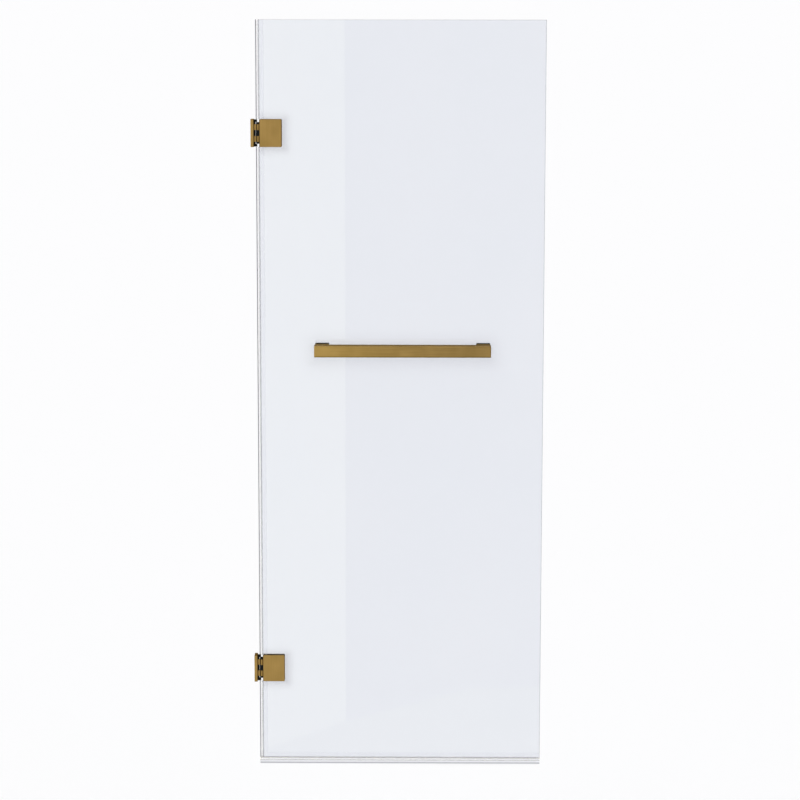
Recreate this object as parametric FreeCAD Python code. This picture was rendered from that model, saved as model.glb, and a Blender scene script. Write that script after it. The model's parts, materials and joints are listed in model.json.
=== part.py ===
import FreeCAD, Part
import math
import os

from FreeCAD import Vector

# Frameless hinged bathtub door: a clear glass panel on two wall-mount hinges,
# with a square towel bar on its outer face and clear seals on two edges.
# Millimetres. X runs from the wall along the door, Y from the room into the tub, Z up.
# The origin is the middle of the lower wall plate's back face. Y = 0 is the middle of the glass.

# Glass panel
glass_width = 558.8
glass_height = 1480.0
glass_thickness = 8.0
glass_arris = 0.8
lower_hinge_height = 186.7
upper_hinge_drop = 219.3

# Clearances, and one overrun for all cuts and joins
overrun = 2.0
fit_clearance = 0.02
running_clearance = 0.05
swing_clearance = 0.4
edge_tolerance = 0.000001

# Hinge plates
hinge_height = 54.0
wall_plate_thickness = 6.0
wall_plate_depth = 24.0
wall_plate_bevel = 0.5
wall_plate_corner = 1.6
clamp_plate_width = 43.4
clamp_plate_thickness = 3.2
clamp_plate_bevel = 0.9
clamp_plate_corner = 2.4
clamp_gasket_thickness = 0.8
clamp_gasket_inset = 0.6
glass_reveal = 0.8

# Wall screw holes
wall_hole_side_margin = 5.0
wall_hole_end_margin = 5.45
wall_hole_radius = 2.25
wall_countersink_radius = 4.1

# Pivot: pin, ears, knuckle, bushes and caps
pin_radius = 2.5
pin_cap_grip = 2.4
pin_end_chamfer = 0.4
pin_flat_lift = 0.4
pin_flat_margin = 0.3
ear_shank_thickness = 4.8
knuckle_wall = 1.08
knuckle_height = 10.0
bush_wall = 0.85
bush_length = 2.0
bush_flange_thickness = 0.8
bush_flange_rim = 0.9
cap_wall = 1.7
cap_crown = 1.6
cap_rounding = 1.2
buffer_nose = 3.0
grub_radius = 1.25
grub_recess = 0.18
grub_socket_width = 1.3
grub_socket_depth = 1.0

# Detent leaf spring in the hinge body
spring_thickness = 0.5
spring_length = 4.2
spring_end_gap = 0.5
spring_end_bearing = 0.7
spring_spare_travel = 0.3

# Hinge body in the glass notch
notch_depth = 22.5
notch_corner = 5.0
notch_grip = 5.4
notch_clearance = 0.5
body_rear_gap = 0.3

# Clamp screws and the bosses that take them
boss_radius = 4.0
boss_length = 5.6
boss_skin = 1.0
clamp_screw_spacing = 24.0
clamp_screw_radius = 2.5
clamp_screw_play = 0.25
clamp_screw_end_gap = 0.8
clamp_head_radius = 4.7
clamp_head_land = 0.8
clamp_socket_width = 3.0
clamp_socket_depth = 1.6

# Towel bar
rail_length = 346.8
rail_section = 22.8
rail_wall = 1.6
rail_rounding = 1.8
rail_start = 107.2
rail_height = 837.1
rail_cap_thickness = 2.4
rail_plug_gap = 1.0
rail_cap_rounding = 1.6
post_inset = 0.9
post_width = 27.5
post_depth = 7.0
post_rounding = 1.0
spacer_depth = 18.0
spacer_inset = 0.2
spigot_radius = 6.0
spigot_length = 5.0
post_gasket_thickness = 0.8
post_gasket_inset = 0.5
stud_radius = 3.0
stud_depth_in_post = 9.0
stud_depth_in_cap = 5.0
stud_end_gap = 0.6
glass_hole_radius = 6.0
glass_bush_recess = 0.2
rear_cap_radius = 9.4
rear_cap_crown = 2.6
rear_cap_rounding = 1.8
rear_socket_width = 5.0
rear_socket_depth = 1.6

# Side seal along the hinge edge
seal_protrusion = 6.6
seal_wall = 0.9
seal_web = 1.2
seal_leg = 9.0
seal_bulb_wall = 0.6
seal_fit = 0.05
seal_end_gap = 0.3

# Sweep along the bottom edge
sweep_drop = 13.3
sweep_wall = 0.9
sweep_web = 1.2
sweep_leg = 10.0
sweep_bulb_radius = 3.0
sweep_bulb_wall = 0.7
sweep_wiper = 1.0
drip_reach = 7.0
drip_fall = 5.0
drip_thickness = 1.0

# Derived places
half_glass = glass_thickness / 2
plate_inner = half_glass + clamp_gasket_thickness
plate_outer = plate_inner + clamp_plate_thickness
bush_radius = pin_radius + running_clearance + bush_wall
knuckle_radius = bush_radius + fit_clearance + knuckle_wall
cap_radius = pin_radius + cap_wall
axis_x = wall_plate_thickness + max(plate_outer, knuckle_radius) + swing_clearance
ring_room = (knuckle_radius + swing_clearance) ** 2 - plate_inner ** 2
clamp_offset = max(ear_shank_thickness / 2 + swing_clearance, math.sqrt(max(ring_room, 0)))
clamp_left = axis_x + clamp_offset
clamp_right = clamp_left + clamp_plate_width
glass_left = clamp_left - glass_reveal
glass_right = glass_left + glass_width
glass_bottom = -lower_hinge_height
glass_top = glass_bottom + glass_height
hinge_centres = {"lower": 0, "upper": glass_top - upper_hinge_drop}

# Levels of the pivot stack above and below a hinge's centre
notch_half = hinge_height / 2 - notch_grip
body_half = notch_half - notch_clearance
cap_end = body_half
ear_end = cap_end - cap_crown - pin_cap_grip
ear_start = knuckle_height / 2 + bush_flange_thickness + running_clearance
spring_height = knuckle_height - 2 * bush_length - 2 * spring_end_gap
pin_flat_height = spring_height + 2 * pin_flat_margin
notch_right = glass_left + notch_depth
body_left = axis_x + max(knuckle_radius, cap_radius) + swing_clearance
body_right = notch_right - notch_clearance
body_rear = plate_inner - body_rear_gap
clamp_screw_x = (body_left + body_right) / 2
clamp_head_depth = clamp_plate_thickness - clamp_head_land
wall_hole_y = wall_plate_depth / 2 - wall_hole_side_margin
wall_hole_z = hinge_height / 2 - wall_hole_end_margin
pin_flat = pin_radius - pin_flat_lift

# Towel bar places
rail_left = glass_left + rail_start
rail_right = rail_left + rail_length
rail_z = glass_bottom + rail_height
spacer_back = -half_glass - post_gasket_thickness
spacer_front = spacer_back - spacer_depth
post_front = spacer_front - post_depth
rail_front = post_front - rail_section
post_start = post_inset + post_width / 2
post_middles = {"left": rail_left + post_start, "right": rail_right - post_start}
rear_cap_seat = half_glass + post_gasket_thickness


def block(x0, x1, y0, y1, z0, z1):
    return Part.makeBox(x1 - x0, y1 - y0, z1 - z0, Vector(x0, y0, z0))


def rod(radius, start, end):
    along = end - start
    return Part.makeCylinder(radius, along.Length, start, along)


def upright(radius, z0, z1):
    return rod(radius, Vector(axis_x, 0, z0), Vector(axis_x, 0, z1))


def crosswise(radius, x, z, y0, y1):
    return rod(radius, Vector(x, y0, z), Vector(x, y1, z))


def taper(radius0, radius1, start, end):
    along = end - start
    return Part.makeCone(radius0, radius1, along.Length, start, along)


def hex_socket(width, mouth, depth):
    # Hexagonal recess, width across its flats, sunk from its mouth towards the room.
    corner = width / math.sqrt(3)
    points = []
    for step in range(7):
        angle = step * math.pi / 3
        points.append(mouth + Vector(corner * math.sin(angle), 0, corner * math.cos(angle)))
    return Part.Face(Part.makePolygon(points)).extrude(Vector(0, -depth, 0))


def profile_along_x(points, x0, x1):
    ring = [Vector(x0, y, z) for y, z in points + points[:1]]
    return Part.Face(Part.makePolygon(ring)).extrude(Vector(x1 - x0, 0, 0))


def edges_along(shape, direction):
    return [
        edge for edge in shape.Edges
        if isinstance(edge.Curve, Part.Line)
        and abs(abs(edge.Curve.Direction.dot(direction)) - 1) < edge_tolerance
    ]


def edges_at(shape, direction, place):
    # Edges that lie in the plane square to a direction at a distance from the origin.
    return [
        edge for edge in shape.Edges
        if all(abs(vertex.Point.dot(direction) - place) < edge_tolerance for vertex in edge.Vertexes)
    ]


def joined(shapes):
    return shapes[0].fuse(shapes[1:]).removeSplitter()


def wall_plate(middle):
    half_depth = wall_plate_depth / 2
    plate = block(0, wall_plate_thickness, -half_depth, half_depth,
                  middle - hinge_height / 2, middle + hinge_height / 2)
    plate = plate.makeFillet(wall_plate_corner, edges_along(plate, Vector(1, 0, 0)))
    room_face = edges_at(plate, Vector(1, 0, 0), wall_plate_thickness)
    plate = plate.makeChamfer(wall_plate_bevel, room_face)
    solids = [plate]
    for side in (-1, 1):
        z0, z1 = sorted((middle + side * ear_start, middle + side * ear_end))
        solids.append(block(wall_plate_thickness - wall_plate_bevel, axis_x,
                            -ear_shank_thickness / 2, ear_shank_thickness / 2, z0, z1))
        solids.append(upright(knuckle_radius, z0, z1))
    plate = joined(solids)
    cuts = [upright(pin_radius + fit_clearance, middle - ear_end - overrun,
                    middle + ear_end + overrun)]
    for side in (-1, 1):
        z = middle + side * (ear_start + ear_end) / 2
        cuts.append(crosswise(grub_radius + fit_clearance, axis_x, z, 0, knuckle_radius + overrun))
    sink = wall_countersink_radius - wall_hole_radius
    for y in (-wall_hole_y, wall_hole_y):
        for z in (middle - wall_hole_z, middle + wall_hole_z):
            cuts.append(rod(wall_hole_radius, Vector(-overrun, y, z),
                            Vector(wall_plate_thickness + overrun, y, z)))
            cuts.append(taper(wall_hole_radius, wall_countersink_radius,
                              Vector(wall_plate_thickness - sink, y, z), Vector(wall_plate_thickness, y, z)))
    return plate.cut(cuts)


def wall_buffers(middle):
    # Three nylon blocks that fill the gap beside the knuckles: above, between and below the ears.
    # The two end blocks have a narrow nose past the pin caps, which the glass edge swings clear of.
    right = axis_x - knuckle_radius - swing_clearance
    half = clamp_offset - swing_clearance
    nose_half = half - glass_reveal
    inner_end = ear_start - fit_clearance
    blocks = [block(wall_plate_thickness, right, -half, half, middle - inner_end, middle + inner_end)]
    for side in (-1, 1):
        end = middle + side * (hinge_height / 2 - wall_plate_bevel)
        z0, z1 = sorted((middle + side * (ear_end + fit_clearance), end))
        nose0, nose1 = sorted((middle + side * (cap_end + swing_clearance), end))
        blocks.append(joined([
            block(wall_plate_thickness, right, -half, half, z0, z1),
            block(wall_plate_thickness, right + buffer_nose, -nose_half, nose_half, nose0, nose1),
        ]))
    return Part.Compound(blocks)


def pivot_pin(middle):
    reach = ear_end + pin_cap_grip
    pin = upright(pin_radius, middle - reach, middle + reach)
    ends = edges_at(pin, Vector(0, 0, 1), middle - reach) + edges_at(pin, Vector(0, 0, 1), middle + reach)
    pin = pin.makeChamfer(pin_end_chamfer, ends)
    far = pin_radius + overrun
    z0 = middle - pin_flat_height / 2
    z1 = middle + pin_flat_height / 2
    for side in (-1, 1):
        near, end = sorted((side * pin_flat, side * far))
        pin = pin.cut(block(axis_x + near, axis_x + end, -far, far, z0, z1))
        pin = pin.cut(block(axis_x - far, axis_x + far, near, end, z0, z1))
    return pin


def pin_caps(middle):
    caps = []
    for side in (-1, 1):
        seat = middle + side * ear_end
        tip = middle + side * cap_end
        cap = rod(cap_radius, Vector(axis_x, 0, seat), Vector(axis_x, 0, tip))
        cap = cap.makeFillet(cap_rounding, edges_at(cap, Vector(0, 0, 1), tip))
        bore_end = seat + side * (pin_cap_grip + fit_clearance)
        bore = rod(pin_radius + fit_clearance, Vector(axis_x, 0, seat - side * overrun),
                   Vector(axis_x, 0, bore_end))
        caps.append(cap.cut(bore))
    return Part.Compound(caps)


def pin_grub_screws():
    screws = []
    for middle in hinge_centres.values():
        for side in (-1, 1):
            z = middle + side * (ear_start + ear_end) / 2
            near = pin_radius + fit_clearance
            far = knuckle_radius - grub_recess
            screw = crosswise(grub_radius, axis_x, z, near, far)
            screws.append(screw.cut(hex_socket(grub_socket_width, Vector(axis_x, far, z), grub_socket_depth)))
    return Part.Compound(screws)


def clamp_screw_places(middle):
    return [middle - clamp_screw_spacing / 2, middle + clamp_screw_spacing / 2]


def hinge_body(middle):
    core = block(body_left, body_right, -plate_inner, body_rear, middle - body_half, middle + body_half)
    inner_edges = [edge for edge in edges_along(core, Vector(0, 1, 0))
                   if abs(edge.CenterOfMass.x - body_right) < edge_tolerance]
    core = core.makeFillet(notch_corner - notch_clearance, inner_edges)
    z0 = middle - knuckle_height / 2
    z1 = middle + knuckle_height / 2
    web = block(axis_x, body_left + overrun, -knuckle_radius, min(knuckle_radius, body_rear), z0, z1)
    body = joined([core, web, upright(knuckle_radius, z0, z1)])
    cuts = [upright(pin_radius + running_clearance, z0 - overrun, z1 + overrun)]
    bush_bore = bush_radius + fit_clearance
    cuts.append(upright(bush_bore, z0 - overrun, z0 + bush_length + fit_clearance))
    cuts.append(upright(bush_bore, z1 - bush_length - fit_clearance, z1 + overrun))
    spring_half = spring_length / 2 + fit_clearance
    spring_back = axis_x + pin_flat + spring_thickness + 2 * fit_clearance
    pocket_half = spring_height / 2 + fit_clearance
    cuts.append(block(axis_x, spring_back, -spring_half, spring_half,
                      middle - pocket_half, middle + pocket_half))
    relief_half = spring_length / 2 - spring_end_bearing
    cuts.append(block(axis_x, spring_back + pin_flat_lift + spring_spare_travel, -relief_half, relief_half,
                      middle - pocket_half, middle + pocket_half))
    boss_end = boss_length - plate_inner + fit_clearance
    for z in clamp_screw_places(middle):
        cuts.append(crosswise(boss_radius + fit_clearance, clamp_screw_x, z,
                              -plate_inner - overrun, boss_end))
        cuts.append(crosswise(clamp_screw_radius + clamp_screw_play, clamp_screw_x, z,
                              -plate_inner, body_rear + overrun))
    return body.cut(cuts)


def knuckle_bushes(middle):
    bushes = []
    for side in (-1, 1):
        seat = middle + side * knuckle_height / 2
        inner = seat - side * bush_length
        outer = seat + side * bush_flange_thickness
        sleeve = rod(bush_radius, Vector(axis_x, 0, inner), Vector(axis_x, 0, seat))
        flange = rod(bush_radius + bush_flange_rim, Vector(axis_x, 0, seat), Vector(axis_x, 0, outer))
        bore = rod(pin_radius + running_clearance, Vector(axis_x, 0, inner - side * overrun),
                   Vector(axis_x, 0, outer + side * overrun))
        bushes.append(joined([sleeve, flange]).cut(bore))
    return Part.Compound(bushes)


def detent_spring(middle):
    near = axis_x + pin_flat + fit_clearance
    return block(near, near + spring_thickness, -spring_length / 2, spring_length / 2,
                 middle - spring_height / 2, middle + spring_height / 2)


def clamp_blank(middle, y0, y1, outer):
    plate = block(clamp_left, clamp_right, y0, y1, middle - hinge_height / 2, middle + hinge_height / 2)
    plate = plate.makeFillet(clamp_plate_corner, edges_along(plate, Vector(0, 1, 0)))
    return plate.makeFillet(clamp_plate_bevel, edges_at(plate, Vector(0, 1, 0), outer))


def front_clamp_plate(middle):
    plate = clamp_blank(middle, -plate_outer, -plate_inner, -plate_outer)
    bosses = []
    threads = []
    for z in clamp_screw_places(middle):
        bosses.append(crosswise(boss_radius, clamp_screw_x, z, -plate_inner, boss_length - plate_inner))
        threads.append(crosswise(clamp_screw_radius + fit_clearance, clamp_screw_x, z,
                                 -plate_outer + boss_skin, boss_length - plate_inner + overrun))
    return joined([plate] + bosses).cut(threads)


def rear_clamp_plate(middle):
    plate = clamp_blank(middle, plate_inner, plate_outer, plate_outer)
    holes = []
    for z in clamp_screw_places(middle):
        holes.append(crosswise(clamp_screw_radius + clamp_screw_play, clamp_screw_x, z,
                               plate_inner - overrun, plate_outer + overrun))
        holes.append(taper(clamp_screw_radius + fit_clearance, clamp_head_radius + fit_clearance,
                           Vector(clamp_screw_x, plate_outer - clamp_head_depth, z),
                           Vector(clamp_screw_x, plate_outer, z)))
    return plate.cut(holes)


def clamp_screws():
    screws = []
    tip = -plate_outer + boss_skin + clamp_screw_end_gap
    for middle in hinge_centres.values():
        for z in clamp_screw_places(middle):
            neck = Vector(clamp_screw_x, plate_outer - clamp_head_depth, z)
            crown = Vector(clamp_screw_x, plate_outer, z)
            head = taper(clamp_screw_radius, clamp_head_radius, neck, crown)
            screw = joined([head, crosswise(clamp_screw_radius, clamp_screw_x, z, tip, neck.y)])
            screws.append(screw.cut(hex_socket(clamp_socket_width, crown, clamp_socket_depth)))
    return Part.Compound(screws)


def notch(middle, y0, y1):
    cut = block(glass_left - overrun - notch_corner, notch_right, y0, y1,
                middle - notch_half, middle + notch_half)
    inner_edges = [edge for edge in edges_along(cut, Vector(0, 1, 0))
                   if abs(edge.CenterOfMass.x - notch_right) < edge_tolerance]
    return cut.makeFillet(notch_corner, inner_edges)


def clamp_gasket(middle, y0, y1):
    sheet = block(clamp_left + clamp_gasket_inset, clamp_right - clamp_gasket_inset, y0, y1,
                  middle - hinge_height / 2 + clamp_gasket_inset,
                  middle + hinge_height / 2 - clamp_gasket_inset)
    sheet = sheet.makeFillet(clamp_plate_corner, edges_along(sheet, Vector(0, 1, 0)))
    return sheet.cut(notch(middle, y0 - overrun, y1 + overrun))


def glass_panel():
    panel = block(glass_left, glass_right, -half_glass, half_glass, glass_bottom, glass_top)
    faces = edges_at(panel, Vector(0, 1, 0), -half_glass) + edges_at(panel, Vector(0, 1, 0), half_glass)
    panel = panel.makeChamfer(glass_arris, faces)
    cuts = [notch(middle, -half_glass - overrun, half_glass + overrun)
            for middle in hinge_centres.values()]
    for x in post_middles.values():
        cuts.append(crosswise(glass_hole_radius, x, rail_z, -half_glass - overrun, half_glass + overrun))
    return panel.cut(cuts)


def towel_rail():
    half = rail_section / 2
    left = rail_left + rail_cap_thickness
    right = rail_right - rail_cap_thickness
    tube = block(left, right, rail_front, post_front, rail_z - half, rail_z + half)
    tube = tube.makeFillet(rail_rounding, edges_along(tube, Vector(1, 0, 0)))
    hollow = block(left - overrun, right + overrun, rail_front + rail_wall, post_front - rail_wall,
                   rail_z - half + rail_wall, rail_z + half - rail_wall)
    seats = [crosswise(spigot_radius + fit_clearance, x, rail_z, post_front - rail_wall - overrun,
                       post_front + overrun) for x in post_middles.values()]
    return tube.cut([hollow] + seats)


def rail_end_caps():
    half = rail_section / 2
    plug_half = half - rail_wall - fit_clearance
    plug_length = post_start - spigot_radius - rail_cap_thickness - rail_plug_gap
    middle_y = post_front - half
    caps = []
    for end, side in ((rail_left, 1), (rail_right, -1)):
        seat = end + side * rail_cap_thickness
        x0, x1 = sorted((end, seat))
        cap = block(x0, x1, rail_front, post_front, rail_z - half, rail_z + half)
        cap = cap.makeFillet(rail_rounding, edges_along(cap, Vector(1, 0, 0)))
        cap = cap.makeFillet(rail_cap_rounding, edges_at(cap, Vector(1, 0, 0), end))
        p0, p1 = sorted((seat, seat + side * plug_length))
        plug = block(p0, p1, middle_y - plug_half, middle_y + plug_half,
                     rail_z - plug_half, rail_z + plug_half)
        caps.append(joined([cap, plug]))
    return Part.Compound(caps)


def post(x):
    half = rail_section / 2
    stem = block(x - post_width / 2, x + post_width / 2, post_front, spacer_front,
                 rail_z - half, rail_z + half)
    stem = stem.makeFillet(post_rounding, edges_along(stem, Vector(0, 1, 0)))
    spigot = crosswise(spigot_radius, x, rail_z, post_front - spigot_length, post_front)
    thread = crosswise(stud_radius + fit_clearance, x, rail_z,
                       spacer_front - stud_depth_in_post - stud_end_gap, spacer_front + overrun)
    return joined([stem, spigot]).cut(thread)


def post_spacer(x):
    half = rail_section / 2 - spacer_inset
    half_width = post_width / 2 - spacer_inset
    body = block(x - half_width, x + half_width, spacer_front, spacer_back, rail_z - half, rail_z + half)
    body = body.makeFillet(post_rounding, edges_along(body, Vector(0, 1, 0)))
    return body.cut(crosswise(stud_radius + running_clearance, x, rail_z,
                              spacer_front - overrun, spacer_back + overrun))


def handle_studs():
    front = spacer_front - stud_depth_in_post
    return Part.Compound([crosswise(stud_radius, x, rail_z, front, rear_cap_seat + stud_depth_in_cap)
                          for x in post_middles.values()])


def handle_bushes():
    half = half_glass - glass_bush_recess
    bushes = []
    for x in post_middles.values():
        sleeve = crosswise(glass_hole_radius - running_clearance, x, rail_z, -half, half)
        bushes.append(sleeve.cut(crosswise(stud_radius + running_clearance, x, rail_z,
                                           -half - overrun, half + overrun)))
    return Part.Compound(bushes)


def post_gaskets():
    half = rail_section / 2 - post_gasket_inset
    half_width = post_width / 2 - post_gasket_inset
    pads = []
    for x in post_middles.values():
        pad = block(x - half_width, x + half_width, spacer_back, -half_glass,
                    rail_z - half, rail_z + half)
        pad = pad.makeFillet(post_rounding, edges_along(pad, Vector(0, 1, 0)))
        pads.append(pad.cut(crosswise(stud_radius + running_clearance, x, rail_z,
                                      spacer_back - overrun, -half_glass + overrun)))
    return Part.Compound(pads)


def rear_gaskets():
    pads = []
    for x in post_middles.values():
        pad = crosswise(rear_cap_radius - post_gasket_inset, x, rail_z, half_glass, rear_cap_seat)
        pads.append(pad.cut(crosswise(stud_radius + running_clearance, x, rail_z,
                                      half_glass - overrun, rear_cap_seat + overrun)))
    return Part.Compound(pads)


def rear_caps():
    thread_end = rear_cap_seat + stud_depth_in_cap + stud_end_gap
    crown = thread_end + rear_cap_crown
    caps = []
    for x in post_middles.values():
        cap = crosswise(rear_cap_radius, x, rail_z, rear_cap_seat, crown)
        cap = cap.makeFillet(rear_cap_rounding, edges_at(cap, Vector(0, 1, 0), crown))
        thread = crosswise(stud_radius + fit_clearance, x, rail_z, rear_cap_seat - overrun, thread_end)
        socket = hex_socket(rear_socket_width, Vector(x, crown, rail_z), rear_socket_depth)
        caps.append(cap.cut([thread, socket]))
    return Part.Compound(caps)


def side_seal(z0, z1):
    slot = half_glass + seal_fit
    outer = slot + seal_wall
    web_back = glass_left - seal_fit - seal_web
    leg_end = glass_left + seal_leg
    bulb_outer = glass_left - seal_protrusion
    bulb_radius = (web_back + seal_bulb_wall - bulb_outer) / 2
    low = Vector(bulb_outer + bulb_radius, 0, z0)
    high = Vector(bulb_outer + bulb_radius, 0, z1)
    solids = [block(web_back, glass_left - seal_fit, -outer, outer, z0, z1)]
    for side in (-1, 1):
        y0, y1 = sorted((side * slot, side * outer))
        solids.append(block(web_back, leg_end, y0, y1, z0, z1))
        tip = Vector(leg_end, side * (slot + seal_wall / 2), z0)
        solids.append(Part.makeCylinder(seal_wall / 2, z1 - z0, tip))
    solids.append(rod(bulb_radius, low, high))
    step = Vector(0, 0, overrun)
    return joined(solids).cut(rod(bulb_radius - seal_bulb_wall, low - step, high + step))


def sweep_room(top):
    # Beside the sweep's channel only the lip of the side seal and a narrow web run on, between its legs.
    near = half_glass + seal_fit - seal_end_gap
    far = half_glass + seal_fit + seal_wall + overrun
    left = glass_left - seal_protrusion - overrun
    right = glass_left + seal_leg + seal_wall + overrun
    rooms = []
    for side in (-1, 1):
        y0, y1 = sorted((side * near, side * far))
        rooms.append(block(left, right, y0, y1, glass_bottom - overrun, top))
    return rooms


def bottom_sweep():
    x0 = glass_left - seal_protrusion
    x1 = glass_right
    slot = half_glass + seal_fit
    outer = slot + sweep_wall
    web_top = glass_bottom - seal_fit
    web_low = web_top - sweep_web
    leg_end = glass_bottom + sweep_leg
    solids = [block(x0, x1, -outer, outer, web_low, web_top)]
    for side in (-1, 1):
        y0, y1 = sorted((side * slot, side * outer))
        solids.append(block(x0, x1, y0, y1, web_low, leg_end))
        tip_y = side * (slot + sweep_wall / 2)
        solids.append(rod(sweep_wall / 2, Vector(x0, tip_y, leg_end), Vector(x1, tip_y, leg_end)))
    bulb_z = web_low - sweep_bulb_radius + sweep_bulb_wall
    wiper_end = glass_bottom - sweep_drop
    solids.append(rod(sweep_bulb_radius, Vector(x0, 0, bulb_z), Vector(x1, 0, bulb_z)))
    wiper_top = bulb_z - sweep_bulb_radius + sweep_bulb_wall
    solids.append(block(x0, x1, -sweep_wiper / 2, sweep_wiper / 2, wiper_end, wiper_top))
    lip_top = web_top + drip_thickness
    solids.append(profile_along_x([(outer - sweep_wall, lip_top), (outer + drip_reach, lip_top - drip_fall),
                                   (outer + drip_reach, lip_top - drip_fall - drip_thickness),
                                   (outer - sweep_wall, web_low)], x0, x1))
    sweep = joined(solids)
    hollow = rod(sweep_bulb_radius - sweep_bulb_wall, Vector(x0 - overrun, 0, bulb_z),
                 Vector(x1 + overrun, 0, bulb_z))
    slot_cut = block(x0 - overrun, x1 + overrun, -slot, slot, web_top, leg_end + overrun)
    return sweep.cut([hollow, slot_cut])


def all_nodes():
    nodes = {}
    for name, middle in hinge_centres.items():
        nodes[name + "_wall_plate"] = wall_plate(middle)
        nodes[name + "_wall_buffers"] = wall_buffers(middle)
        nodes[name + "_pivot_pin"] = pivot_pin(middle)
        nodes[name + "_pin_caps"] = pin_caps(middle)
        nodes[name + "_hinge_body"] = hinge_body(middle)
        nodes[name + "_knuckle_bushes"] = knuckle_bushes(middle)
        nodes[name + "_detent_spring"] = detent_spring(middle)
        nodes[name + "_front_clamp_plate"] = front_clamp_plate(middle)
        nodes[name + "_rear_clamp_plate"] = rear_clamp_plate(middle)
        nodes[name + "_front_clamp_gasket"] = clamp_gasket(middle, -plate_inner, -half_glass)
        nodes[name + "_rear_clamp_gasket"] = clamp_gasket(middle, half_glass, plate_inner)
    nodes["pin_grub_screws"] = pin_grub_screws()
    nodes["clamp_screws"] = clamp_screws()
    nodes["glass_panel"] = glass_panel()
    nodes["towel_rail"] = towel_rail()
    nodes["rail_end_caps"] = rail_end_caps()
    for name, x in post_middles.items():
        nodes[name + "_post"] = post(x)
        nodes[name + "_post_spacer"] = post_spacer(x)
    nodes["handle_studs"] = handle_studs()
    nodes["handle_bushes"] = handle_bushes()
    nodes["post_gaskets"] = post_gaskets()
    nodes["rear_gaskets"] = rear_gaskets()
    nodes["rear_caps"] = rear_caps()
    plate_half = hinge_height / 2 + seal_end_gap
    sweep_top = glass_bottom + sweep_leg + sweep_wall / 2 + seal_end_gap
    nodes["upper_side_seal"] = side_seal(hinge_centres["upper"] + plate_half, glass_top)
    nodes["middle_side_seal"] = side_seal(hinge_centres["lower"] + plate_half,
                                          hinge_centres["upper"] - plate_half)
    lower_seal = side_seal(glass_bottom + seal_end_gap, hinge_centres["lower"] - plate_half)
    nodes["lower_side_seal"] = lower_seal.cut(sweep_room(sweep_top))
    nodes["bottom_sweep"] = bottom_sweep()
    return nodes


os.makedirs("parts", exist_ok=True)
for node_name, shape in all_nodes().items():
    shape.exportStep("parts/" + node_name + ".step")
    print(node_name, len(shape.Solids), "solids", round(shape.Volume, 1), "mm3", shape.isValid())
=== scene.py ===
import json
import math

import bmesh
import bpy
from mathutils import Matrix, Vector


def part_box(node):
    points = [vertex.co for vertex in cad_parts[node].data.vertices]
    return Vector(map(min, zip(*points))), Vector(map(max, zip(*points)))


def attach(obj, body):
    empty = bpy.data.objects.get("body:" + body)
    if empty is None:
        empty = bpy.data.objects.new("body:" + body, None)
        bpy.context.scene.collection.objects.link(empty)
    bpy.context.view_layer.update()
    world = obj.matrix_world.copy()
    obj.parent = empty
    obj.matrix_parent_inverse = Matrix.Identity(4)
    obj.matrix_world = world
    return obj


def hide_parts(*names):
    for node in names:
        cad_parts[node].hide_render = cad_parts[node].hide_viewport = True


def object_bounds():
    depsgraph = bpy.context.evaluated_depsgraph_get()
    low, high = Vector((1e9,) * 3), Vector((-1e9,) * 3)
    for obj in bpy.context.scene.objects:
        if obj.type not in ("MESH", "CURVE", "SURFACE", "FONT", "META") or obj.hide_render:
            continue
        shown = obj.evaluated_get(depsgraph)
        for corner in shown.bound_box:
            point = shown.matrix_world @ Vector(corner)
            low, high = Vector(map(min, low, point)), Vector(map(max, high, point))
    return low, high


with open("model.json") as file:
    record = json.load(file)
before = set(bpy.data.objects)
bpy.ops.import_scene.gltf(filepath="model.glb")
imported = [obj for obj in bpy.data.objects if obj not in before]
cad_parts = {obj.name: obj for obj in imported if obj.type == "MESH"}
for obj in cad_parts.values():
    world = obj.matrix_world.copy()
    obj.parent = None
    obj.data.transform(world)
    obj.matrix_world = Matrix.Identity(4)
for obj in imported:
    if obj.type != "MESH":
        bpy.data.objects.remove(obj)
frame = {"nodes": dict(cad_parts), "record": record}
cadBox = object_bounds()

scene = bpy.context.scene
scene.view_settings.view_transform = "Standard"
nodes = frame["nodes"]
millimetre = 0.001
opaque = (1.0,)                  # the alpha that is added to a colour's three channels
plainWhite = (1.0, 1.0, 1.0, 1.0)


def linear(hexColour):
    channels = [int(hexColour[i:i + 2], 16) / 255 for i in (1, 3, 5)]
    return tuple(c / 12.92 if c <= 0.04045 else ((c + 0.055) / 1.055) ** 2.4 for c in channels) + opaque


def addNode(tree, kind, settings=None, inputs=None):
    node = tree.nodes.new(kind)
    for name, value in (settings or {}).items():
        setattr(node, name, value)
    for name, value in (inputs or {}).items():
        if isinstance(value, bpy.types.NodeSocket):
            tree.links.new(value, node.inputs[name])
        else:
            node.inputs[name].default_value = value
    return node


def emptyMaterial(name):
    material = bpy.data.materials.new(name)
    material.use_nodes = True
    tree = material.node_tree
    tree.nodes.clear()
    return material, tree


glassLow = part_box("glass_panel")[0]
glassFront = glassLow.y

# Camera, at the height and distance that the glass outline gives in an 800 x 800 picture
cameraSet = {
    "place": glassLow + Vector((0.310008, -5.25236, 1.59417)),    # from the lower front corner of the glass
    "yaw": -0.377, "pitch": -9.301, "roll": 0.078,      # degrees
    "lens": 120.91, "sensor": 36.0,                      # mm
    "farthest": 2000.0,                                  # m, beyond the far edge of the floor
    "frame": 800,                                        # pixels
}


def cameraAxes():
    yaw, pitch, roll = (math.radians(cameraSet[key]) for key in ("yaw", "pitch", "roll"))
    ahead = Vector((math.cos(pitch) * math.sin(yaw), math.cos(pitch) * math.cos(yaw), math.sin(pitch)))
    level = Vector((math.cos(yaw), -math.sin(yaw), 0))
    above = level.cross(ahead)
    right = level * math.cos(roll) + above * math.sin(roll)
    up = above * math.cos(roll) - level * math.sin(roll)
    return right, up, ahead


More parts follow.
